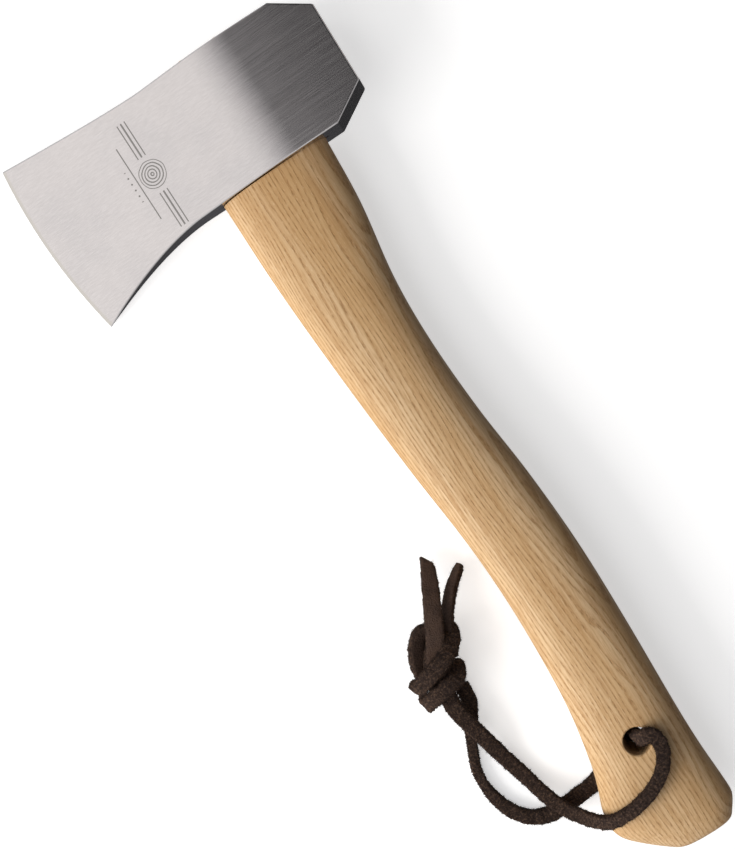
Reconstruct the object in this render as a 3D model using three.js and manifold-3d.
// A small carving hatchet, laid down on its side: a forged head on an ash handle, wedged in the eye,
// with a leather lanyard through the butt. Millimetres, +Z up, cutting edge towards -X, butt towards -Y.
import * as THREE from "three";
import { LoftGeometry } from "three/addons/geometries/LoftGeometry.js";
import { mergeVertices } from "three/addons/utils/BufferGeometryUtils.js";
import Module from "manifold-3d";

// ---- Driving dimensions of the hatchet, in its own frame ----
// x runs from the cutting edge to the poll, y from the butt to the top of the head, z through the cheeks.
// Its zero is the middle of the lanyard hole.
const HANDLE_REACH = 240.7; // lanyard hole to the underside of the head
const BUTT_REACH = 42.8; // lanyard hole to the end of the butt
const HEAD_DEPTH = 50.4; // underside to top line, at the eye
const EDGE_REACH = 84.7; // handle line to the foremost point of the cutting edge
const POLL_REACH = 45.9; // handle line to the poll
const HEAD_THICKNESS = 21;
const FLAT_START = 5.5; // where the tapered cheeks turn parallel
const TOE_RISE = 6.2; // toe above the top line
const HEEL_DROP = 13.3; // heel below the underside
const TOE_SETBACK = 1.7; // how far the toe and the heel lie behind the foremost point
const HEEL_SETBACK = 4.6;
const BEVEL_WIDTH = 1.7; // the honed bevel behind the edge
const BEVEL_THICKNESS = 0.9; // the head's thickness where that bevel starts
const EDGE_THICKNESS = 0.16;
const POLL_CORNER_TOP = { along: 13.6, down: 9.6 }; // the poll's cut corners
const POLL_CORNER_LOW = { along: 15.6, down: 8.6 };
const HEAD_EDGE_BREAK = 0.6;

const EYE_FRONT = 22.6; // the eye, from the handle line forwards and backwards
const EYE_BACK = 24;
const EYE_WIDTH = 14.6;
const EYE_WIDEST_AT = 8;
const EYE_FLARE = 0.5; // the eye is this much wider all round at the top than at the underside
const TONGUE_FRONT = 20.6; // the tongue stops short of the pointed front of the eye
const TONGUE_PROUD = 1.2; // end grain standing above the top of the head
const FIT_GAP = 0.3; // clearance between pieces that touch

const KERF_DEPTH = 36;
const KERF_TOP = 4.8;
const KERF_FOOT = 1.4;
const RING_RADIUS = 5.2;
const RING_WALL = 1.2;
const RING_HEIGHT = 12;
const RING_BARBS = 3;
const RING_BARB = 0.35;
const RING_SUNK = 0.4;

const HOLE_DIAMETER = 10;
const HOLE_BREAK = 0.45;
const HANDLE_ROUNDNESS = 2.4; // exponent of the handle's oval section: 2 is an ellipse
const HANDLE_THICKNESS = 19.2; // at the lanyard hole
const NECK_THICKNESS = 15.8; // under the head

// ---- Driving dimensions of the lanyard ----
const LACE_WIDTH = 0.62 * HOLE_DIAMETER; // the lace passes the hole with room to bend
const LACE_THICKNESS = 3;
const LACE_CORNER = 0.7;
const TABLE_GAP = 0.1; // under the lace
const KNOT = { width: 20.4, length: 30, height: 13.6 };
const KNOT_TURN = -33; // degrees, of the knot's length from the handle's direction

// Routes of the lace in the order of its run: x and y from the middle of the lanyard hole, then the height,
// which is 0 where the lace lies on the table and 1 where it lies on the handle beside the hole.
const FRONT_LEG = [
  [0, 0, 0.507], [-0.5, 0.3, 0.705], [-0.4, 0.6, 0.851], [1.1, 0.9, 0.967], [4, 0.1, 1.019],
  [5.1, -3.4, 1.019], [3.6, -8.5, 1.01], [-0.6, -13.3, 1.001], [-6.4, -16.6, 0.98],
  [-13.2, -18.9, 0.933], [-19.4, -19.9, 0.851], [-25, -20, 0.705], [-29.6, -17.9, 0.481],
  [-33.2, -14.6, 0.292], [-36.5, -10, 0.198], [-39.4, -3.2, 0.103], [-42, 6.6, 0.021],
  [-44.6, 16.4, 0.05], [-46.7, 26.4, 0.165], [-48.4, 34, 0.205], [-49.8, 41, 0.22], [-49.4, 49, 0.249],
];
const BACK_LEG = [
  [0, 0, 0.477], [0.8, 0, 0.301], [0.7, -0.2, 0.172], [-1.2, -0.9, 0.034], [-5, -2.6, 0], [-12, -6, 0],
  [-21.9, -9.9, 0], [-29.7, -10.6, 0], [-36.4, -10.9, 0], [-43.9, -10.1, 0], [-50.2, -6, 0],
  [-54.4, 1.2, 0], [-56.2, 9.5, 0], [-55.7, 17.2, 0], [-53.2, 23.8, 0], [-50.2, 30, 0],
  [-46.4, 35.6, 0.004], [-44, 41.1, 0.013], [-43.4, 47, 0.056],
];
const LONG_TAIL = [
  [-45, 62, 0.275], [-42.6, 68, 0.344], [-39.4, 75, 0.275], [-35.6, 82.6, 0.129], [-31.6, 91.6, 0.026],
];
const SHORT_TAIL = [
  [-43, 62, 0.103], [-38.6, 67.8, 0.103], [-33.4, 72.6, 0.086], [-27.4, 77.6, 0.073],
  [-19.6, 83.6, 0.073],
];
const KNOT_CENTRE = [-47.5, 57.5, KNOT.height / 2 + TABLE_GAP];
const LACE_ON_TABLE = TABLE_GAP + LACE_THICKNESS / 2;

const UP = new THREE.Vector3(0, 0, 1);
const wasm = await Module();
wasm.setup();

// ---- Solids from geometries, and back ----

// A closed geometry as a manifold solid, placed by a matrix.
function solid(geometry, matrix = new THREE.Matrix4()) {
  const bare = new THREE.BufferGeometry();
  bare.setAttribute("position", geometry.getAttribute("position").clone());
  bare.setIndex(geometry.index);
  const merged = mergeVertices(bare.applyMatrix4(matrix), 1e-4);
  return new wasm.Manifold(
    new wasm.Mesh({
      numProp: 3,
      vertProperties: merged.attributes.position.array,
      triVerts: new Uint32Array(merged.index.array),
    }),
  );
}

// A named mesh that shows a solid in one colour.
function meshOf(name, made, material) {
  const { numProp, vertProperties, triVerts } = made.getMesh();
  const geometry = new THREE.BufferGeometry();
  geometry.setAttribute("position", new THREE.BufferAttribute(vertProperties, numProp));
  geometry.setIndex(new THREE.BufferAttribute(triVerts, 1));
  geometry.computeVertexNormals();
  const mesh = new THREE.Mesh(geometry, new THREE.MeshStandardMaterial(material));
  mesh.name = name;
  return mesh;
}

// A smooth value through [place, value] pairs, level with the straight lines between its neighbours.
function smoothThrough(pairs) {
  const slopes = pairs.map((_, i) => {
    const before = pairs[Math.max(i - 1, 0)];
    const after = pairs[Math.min(i + 1, pairs.length - 1)];
    return (after[1] - before[1]) / (after[0] - before[0]);
  });
  return (place) => {
    const i = Math.max(0, Math.min(pairs.length - 2, pairs.findIndex((pair) => pair[0] > place) - 1));
    const last = place >= pairs[pairs.length - 1][0] ? pairs.length - 2 : i;
    const [from, start] = pairs[last];
    const [to, end] = pairs[last + 1];
    const span = to - from;
    const t = (place - from) / span;
    const rise = (t * t * (3 - 2 * t)) * (end - start);
    return start + rise + span * t * (1 - t) * ((1 - t) * slopes[last] - t * slopes[last + 1]);
  };
}

// ---- The head ----
const UNDERSIDE = HANDLE_REACH;
const TOP_LINE = UNDERSIDE + HEAD_DEPTH;
const toe = new THREE.Vector2(TOE_SETBACK - EDGE_REACH, TOP_LINE + TOE_RISE);
const heel = new THREE.Vector2(HEEL_SETBACK - EDGE_REACH, UNDERSIDE - HEEL_DROP);
const edgeCurve = new THREE.QuadraticBezierCurve(
  toe,
  new THREE.Vector2(-EDGE_REACH - (TOE_SETBACK + HEEL_SETBACK) / 2 + 0.6, (toe.y + heel.y) / 2),
  heel,
);
const wedgeStart = BEVEL_WIDTH - EDGE_REACH; // where the tapered cheeks begin, behind the honed bevel
const wedgeAngle = Math.atan((HEAD_THICKNESS - BEVEL_THICKNESS) / 2 / (FLAT_START - wedgeStart));

// Half of the head's thickness on the cheeks at x.
function halfCheek(x) {
  const tapered = BEVEL_THICKNESS / 2 + (x - wedgeStart) * Math.tan(wedgeAngle);
  return Math.min(HEAD_THICKNESS / 2, tapered);
}

// The head seen from its side, running out past the cutting edge, which the cheeks' loft cuts.
function headOutline() {
  const overrun = 4;
  const topEnd = POLL_REACH - POLL_CORNER_TOP.along;
  const lowEnd = POLL_REACH - POLL_CORNER_LOW.along;
  const shape = new THREE.Shape();
  shape.moveTo(toe.x - overrun, toe.y + overrun * 0.1);
  shape.lineTo(heel.x - 2 * overrun, heel.y - overrun * 0.84);
  shape.lineTo(heel.x, heel.y);
  shape.quadraticCurveTo(EYE_FRONT - EDGE_REACH + 13.5, UNDERSIDE - 0.1, -EYE_FRONT - 5.5, UNDERSIDE);
  shape.lineTo(lowEnd, UNDERSIDE);
  shape.lineTo(POLL_REACH - 0.8, UNDERSIDE + POLL_CORNER_LOW.down);
  shape.lineTo(POLL_REACH, TOP_LINE - 1 - POLL_CORNER_TOP.down);
  shape.lineTo(topEnd, TOP_LINE - 1);
  shape.quadraticCurveTo(FLAT_START, TOP_LINE, -EYE_FRONT - 1.5, TOP_LINE);
  shape.quadraticCurveTo(-EDGE_REACH / 2, TOP_LINE + TOE_RISE * 0.15, toe.x, toe.y);
  return shape;
}

// The cheeks: a section through the thickness, which follows the curved cutting edge from heel to toe.
function cheekLoft() {
  const stations = 18;
  const overrun = 0.09;
  const sections = [];
  for (let i = 0; i <= stations; i += 1) {
    const edge = edgeCurve.getPoint(1 + overrun - (i / stations) * (1 + 2 * overrun));
    const bevelEnd = edge.x + BEVEL_WIDTH;
    const half = [
      [POLL_REACH + 1, HEAD_THICKNESS / 2],
      [FLAT_START, HEAD_THICKNESS / 2],
      [bevelEnd, halfCheek(bevelEnd)],
      [edge.x, EDGE_THICKNESS / 2],
    ];
    const ring = [...half, ...half.map(([x, z]) => [x, -z]).reverse()];
    sections.push(ring.map(([x, z]) => new THREE.Vector3(x, edge.y, -z)));
  }
  return new LoftGeometry(sections, { capStart: true, capEnd: true });
}

// Half of the eye's width at x, for an opening inset by a distance from the eye's wall.
function halfEye(x, front, inset, flare) {
  const widest = EYE_WIDTH / 2 - inset + flare;
  if (x < EYE_WIDEST_AT) {
    return widest * (1 - ((EYE_WIDEST_AT - x) / (EYE_WIDEST_AT + front)) ** 1.7);
  }
  const back = EYE_BACK - inset + flare;
  return widest * Math.sqrt(1 - ((x - EYE_WIDEST_AT) / (back - EYE_WIDEST_AT)) ** 2.6);
}

// A drop-shaped column along y: the eye itself, or the tongue that fills it.
function eyeColumn(from, to, front, inset) {
  const steps = 14;
  const blunt = 0.35; // half of the width left at the front, so that no section comes to a knife edge
  const sections = [from, to].map((y) => {
    const flare = (EYE_FLARE * (y - UNDERSIDE)) / HEAD_DEPTH;
    const back = EYE_BACK - inset + flare;
    const half = [];
    for (let i = 0; i <= steps; i += 1) {
      const x = (back - front) / 2 - ((back + front) / 2) * Math.cos((Math.PI * i) / steps);
      half.push([x, Math.max(blunt, halfEye(Math.min(x, back), front, inset, flare))]);
    }
    const ring = [...half, ...half.map(([x, z]) => [x, -z]).reverse()];
    return ring.map(([x, z]) => new THREE.Vector3(x, y, z));
  });
  return solid(new LoftGeometry(sections, { capStart: true, capEnd: true }));
}

function makeHead() {
  const outline = new THREE.ExtrudeGeometry(headOutline(), {
    depth: HEAD_THICKNESS - 2 * HEAD_EDGE_BREAK,
    bevelThickness: HEAD_EDGE_BREAK,
    bevelSize: HEAD_EDGE_BREAK,
    bevelOffset: -HEAD_EDGE_BREAK,
    bevelSegments: 1,
    curveSegments: 12,
  });
  const raised = new THREE.Matrix4().makeTranslation(0, 0, HEAD_EDGE_BREAK - HEAD_THICKNESS / 2);
  const block = solid(outline, raised).intersect(solid(cheekLoft()));
  return block.subtract(eyeColumn(UNDERSIDE - 20, TOP_LINE + 20, EYE_FRONT, 0));
}

// ---- The handle ----
const handleTop = UNDERSIDE - FIT_GAP;
const tongueTop = TOP_LINE + TONGUE_PROUD;
const buttEnd = -BUTT_REACH;

// The front and back lines of the handle, and half of its thickness, from the butt up to the head.
const frontLine = smoothThrough([
  [buttEnd, -8], [-40.6, -11.2], [-35, -18.2], [-29, -24.2], [-23.5, -26], [-17, -25], [-9, -21.9], [0, -19.2],
  [20, -15.4], [40, -13.6], [65, -12.7], [90, -13.4], [124, -16.4], [165, -19.1], [205, -20.8], [handleTop, -20.9],
]);
const backLine = smoothThrough([
  [buttEnd, 12.8], [-41, 14.2], [-36, 17.5], [-33, 18.1], [-15, 17.65], [0, 17.9], [40, 19.7], [70, 20.3],
  [100, 19.1], [130, 16.5], [160, 15.55], [185, 16.9], [215, 21.6], [handleTop, 23.5],
]);
const halfThickness = smoothThrough([
  [buttEnd, 5.4], [-41, 7], [-36, 8.5], [-26, 9.3], [0, HANDLE_THICKNESS / 2], [50, HANDLE_THICKNESS / 2 + 0.1],
  [100, HANDLE_THICKNESS / 2], [150, 9.2], [200, 8.6], [handleTop, NECK_THICKNESS / 2],
]);

// One oval section of the handle: a superellipse between the front and back lines.
function handleSection(y) {
  const around = 40;
  const middle = (frontLine(y) + backLine(y)) / 2;
  const reach = (backLine(y) - frontLine(y)) / 2;
  const power = 2 / HANDLE_ROUNDNESS;
  const points = [];
  for (let i = 0; i < around; i += 1) {
    const angle = (2 * Math.PI * i) / around;
    const across = Math.sign(Math.cos(angle)) * Math.abs(Math.cos(angle)) ** power;
    const through = Math.sign(Math.sin(angle)) * Math.abs(Math.sin(angle)) ** power;
    points.push(new THREE.Vector3(middle + reach * across, y, -halfThickness(y) * through));
  }
  return points;
}

function handleBody() {
  const endStations = [0, 0.6, 1.6, 3.2, 5.4, 8, 11, 14, 17.5, 21.5, 26, 31, 37];
  const shaftStations = 22;
  const sections = endStations.map((above) => handleSection(buttEnd + above));
  const shaftStart = buttEnd + endStations[endStations.length - 1];
  for (let i = 1; i <= shaftStations; i += 1) {
    sections.push(handleSection(shaftStart + ((handleTop - shaftStart) * i) / shaftStations));
  }
  return solid(new LoftGeometry(sections, { capStart: true, capEnd: true }));
}

// The tool that bores the lanyard hole and breaks both of its rims.
function holeCutter() {
  const bore = HOLE_DIAMETER / 2;
  const rim = HANDLE_THICKNESS / 2;
  const profile = [
    [0, -rim - 3], [bore + HOLE_BREAK + 3, -rim - 3], [bore, -rim + HOLE_BREAK],
    [bore, rim - HOLE_BREAK], [bore + HOLE_BREAK + 3, rim + 3], [0, rim + 3],
  ].map(([radius, height]) => new THREE.Vector2(radius, height));
  return solid(new THREE.LatheGeometry(profile, 36), new THREE.Matrix4().makeRotationX(Math.PI / 2));
}

// The kerf sawn down the tongue, or the wedge that fills it with a gap all round.
function kerfPrism(gap) {
  const depth = KERF_DEPTH - gap;
  const overTop = gap > 0 ? 0 : 2;
  const slope = (KERF_TOP - KERF_FOOT) / 2 / KERF_DEPTH;
  const half = (below) => KERF_TOP / 2 - slope * below - gap;
  const profile = new THREE.Shape();
  profile.moveTo(-half(-overTop), tongueTop + overTop);
  profile.lineTo(-half(depth), tongueTop - depth);
  profile.lineTo(half(depth), tongueTop - depth);
  profile.lineTo(half(-overTop), tongueTop + overTop);
  const length = EYE_FRONT + EYE_BACK + 10;
  const prism = new THREE.ExtrudeGeometry(profile, { depth: length, bevelEnabled: false });
  const across = new THREE.Matrix4().makeTranslation(-EYE_FRONT - 5, 0, 0);
  return solid(prism, across.multiply(new THREE.Matrix4().makeRotationY(Math.PI / 2)));
}

// The ring wedge, or with a gap the ring-shaped groove that it is driven into.
function ringSolid(gap) {
  const foot = tongueTop - RING_SUNK - RING_HEIGHT - gap;
  const top = gap > 0 ? tongueTop + 3 : tongueTop - RING_SUNK;
  const profile = [[RING_RADIUS - RING_WALL - gap, foot], [RING_RADIUS - RING_WALL - gap, top]];
  if (gap > 0) {
    profile.push([RING_RADIUS + gap, top], [RING_RADIUS + gap, foot]);
  } else {
    for (let i = 0; i < RING_BARBS; i += 1) {
      const head = top - (RING_HEIGHT * i) / RING_BARBS;
      profile.push([RING_RADIUS, head], [RING_RADIUS - RING_BARB, head - (0.9 * RING_HEIGHT) / RING_BARBS]);
    }
    profile.push([RING_RADIUS - RING_BARB, foot]);
  }
  profile.push(profile[0]);
  const turned = profile.map(([radius, height]) => new THREE.Vector2(radius, height)).reverse();
  const centre = (EYE_BACK - TONGUE_FRONT) / 2 + 2;
  return solid(new THREE.LatheGeometry(turned, 32), new THREE.Matrix4().makeTranslation(centre, 0, 0));
}

function makeHandle() {
  const tongue = eyeColumn(handleTop - 2, tongueTop, TONGUE_FRONT, FIT_GAP);
  return handleBody().add(tongue).subtract(holeCutter()).subtract(kerfPrism(0)).subtract(ringSolid(FIT_GAP));
}

function makeWoodenWedge() {
  const within = eyeColumn(UNDERSIDE - 2, tongueTop, TONGUE_FRONT, FIT_GAP);
  return kerfPrism(FIT_GAP).intersect(within).subtract(ringSolid(FIT_GAP));
}

// ---- The lanyard ----

// A route whose flat lace lies level, and turns without twisting where it stands up in the hole.
class LaceRoute extends THREE.CatmullRomCurve3 {
  computeFrenetFrames(segments) {
    const steepest = 0.5; // the share of a tangent that is level, below which the lace counts as upright
    const tangents = [];
    for (let i = 0; i <= segments; i += 1) {
      tangents.push(this.getTangentAt(i / segments));
    }
    const widths = new Array(segments + 1);
    for (let i = segments; i >= 0; i -= 1) {
      const level = new THREE.Vector3().crossVectors(UP, tangents[i]);
      if (level.length() > steepest) {
        widths[i] = level.normalize();
      } else {
        const turn = new THREE.Quaternion().setFromUnitVectors(tangents[i + 1], tangents[i]);
        widths[i] = widths[i + 1].clone().applyQuaternion(turn);
      }
    }
    const ups = widths.map((width, i) => new THREE.Vector3().crossVectors(tangents[i], width));
    return { tangents, normals: widths, binormals: ups };
  }
}

function laceSection() {
  const [w, t, c] = [LACE_WIDTH / 2, LACE_THICKNESS / 2, LACE_CORNER];
  const corners = [[w, c - t], [w, t - c], [w - c, t], [c - w, t], [-w, t - c], [-w, c - t], [c - w, -t], [w - c, -t]];
  return new THREE.Shape(corners.map(([x, y]) => new THREE.Vector2(x, y)));
}

// The lace along a route, whose heights run from the table to its place on the handle.
function laceAlong(points, steps, onHandle) {
  const rise = onHandle - LACE_ON_TABLE;
  const route = new LaceRoute(points.map(([x, y, share]) => new THREE.Vector3(x, y, LACE_ON_TABLE + share * rise)));
  return solid(new THREE.ExtrudeGeometry(laceSection(), { steps, extrudePath: route, bevelEnabled: false }));
}

// The knot's outer shape, or with a gap the space that the lace leaves free around it.
function knotSolid(gap) {
  const grown = new THREE.Vector3(KNOT.width / 2 + gap, KNOT.length / 2 + gap, KNOT.height / 2 + gap);
  const turned = new THREE.Quaternion().setFromAxisAngle(UP, THREE.MathUtils.degToRad(KNOT_TURN));
  const placed = new THREE.Matrix4().compose(new THREE.Vector3(...KNOT_CENTRE), turned, grown);
  return solid(new THREE.SphereGeometry(1, 24, 14), placed);
}

// ---- How the hatchet lies: on one tapered cheek, with the lace under its butt ----

// The height of the lowest point of the handle's section at the hole, once the hatchet is rolled.
function lowestOfButt() {
  const heights = handleSection(0).map((p) => p.x * Math.sin(wedgeAngle) + p.z * Math.cos(wedgeAngle));
  return Math.min(...heights);
}

const cheekBelow = (HEAD_THICKNESS / 2) * Math.cos(wedgeAngle) - FLAT_START * Math.sin(wedgeAngle);
const laceSeat = LACE_THICKNESS + TABLE_GAP + FIT_GAP;
const slack = cheekBelow + lowestOfButt();
const pitch = Math.asin(laceSeat / Math.hypot(toe.y, slack)) - Math.atan2(slack, toe.y);

// ---- The scene graph ----
const steel = { color: 0xb9b5b3, roughness: 0.38, metalness: 0.9 };
const ash = { color: 0xd9b27c, roughness: 0.6, metalness: 0 };
const wedgeWood = { color: 0xb98a55, roughness: 0.7, metalness: 0 };
const ringSteel = { color: 0x8d8f92, roughness: 0.45, metalness: 0.9 };
const leather = { color: 0x3b2f2b, roughness: 0.85, metalness: 0 };

const hatchet = new THREE.Group();
hatchet.add(
  meshOf("axe_head", makeHead(), steel),
  meshOf("handle", makeHandle(), ash),
  meshOf("wooden_wedge", makeWoodenWedge(), wedgeWood),
  meshOf("ring_wedge", ringSolid(0), ringSteel),
);
hatchet.rotation.set(-pitch, -wedgeAngle, 0);

// The frame's origin is the middle of the hatchet's footprint, on the table.
const box = new THREE.Box3().setFromObject(hatchet, true);
const middle = box.getCenter(new THREE.Vector3());
hatchet.position.set(-middle.x, -middle.y, -box.min.z);

const handleFace = hatchet.position.z + HANDLE_THICKNESS / 2 / Math.cos(wedgeAngle);
const laceOnHandle = handleFace + 2 * FIT_GAP + LACE_THICKNESS / 2;
const knotSpace = knotSolid(FIT_GAP);
const lanyard = new THREE.Group();
lanyard.add(
  meshOf("lanyard_leg_front", laceAlong(FRONT_LEG, 40, laceOnHandle).subtract(knotSpace), leather),
  meshOf("lanyard_leg_back", laceAlong(BACK_LEG, 38, laceOnHandle).subtract(knotSpace), leather),
  meshOf("lanyard_knot", knotSolid(0), leather),
  meshOf("lanyard_tail_long", laceAlong(LONG_TAIL, 10, laceOnHandle).subtract(knotSpace), leather),
  meshOf("lanyard_tail_short", laceAlong(SHORT_TAIL, 10, laceOnHandle).subtract(knotSpace), leather),
);
lanyard.position.set(-middle.x, -middle.y, 0);

const root = new THREE.Group();
root.add(hatchet, lanyard);
export default root;
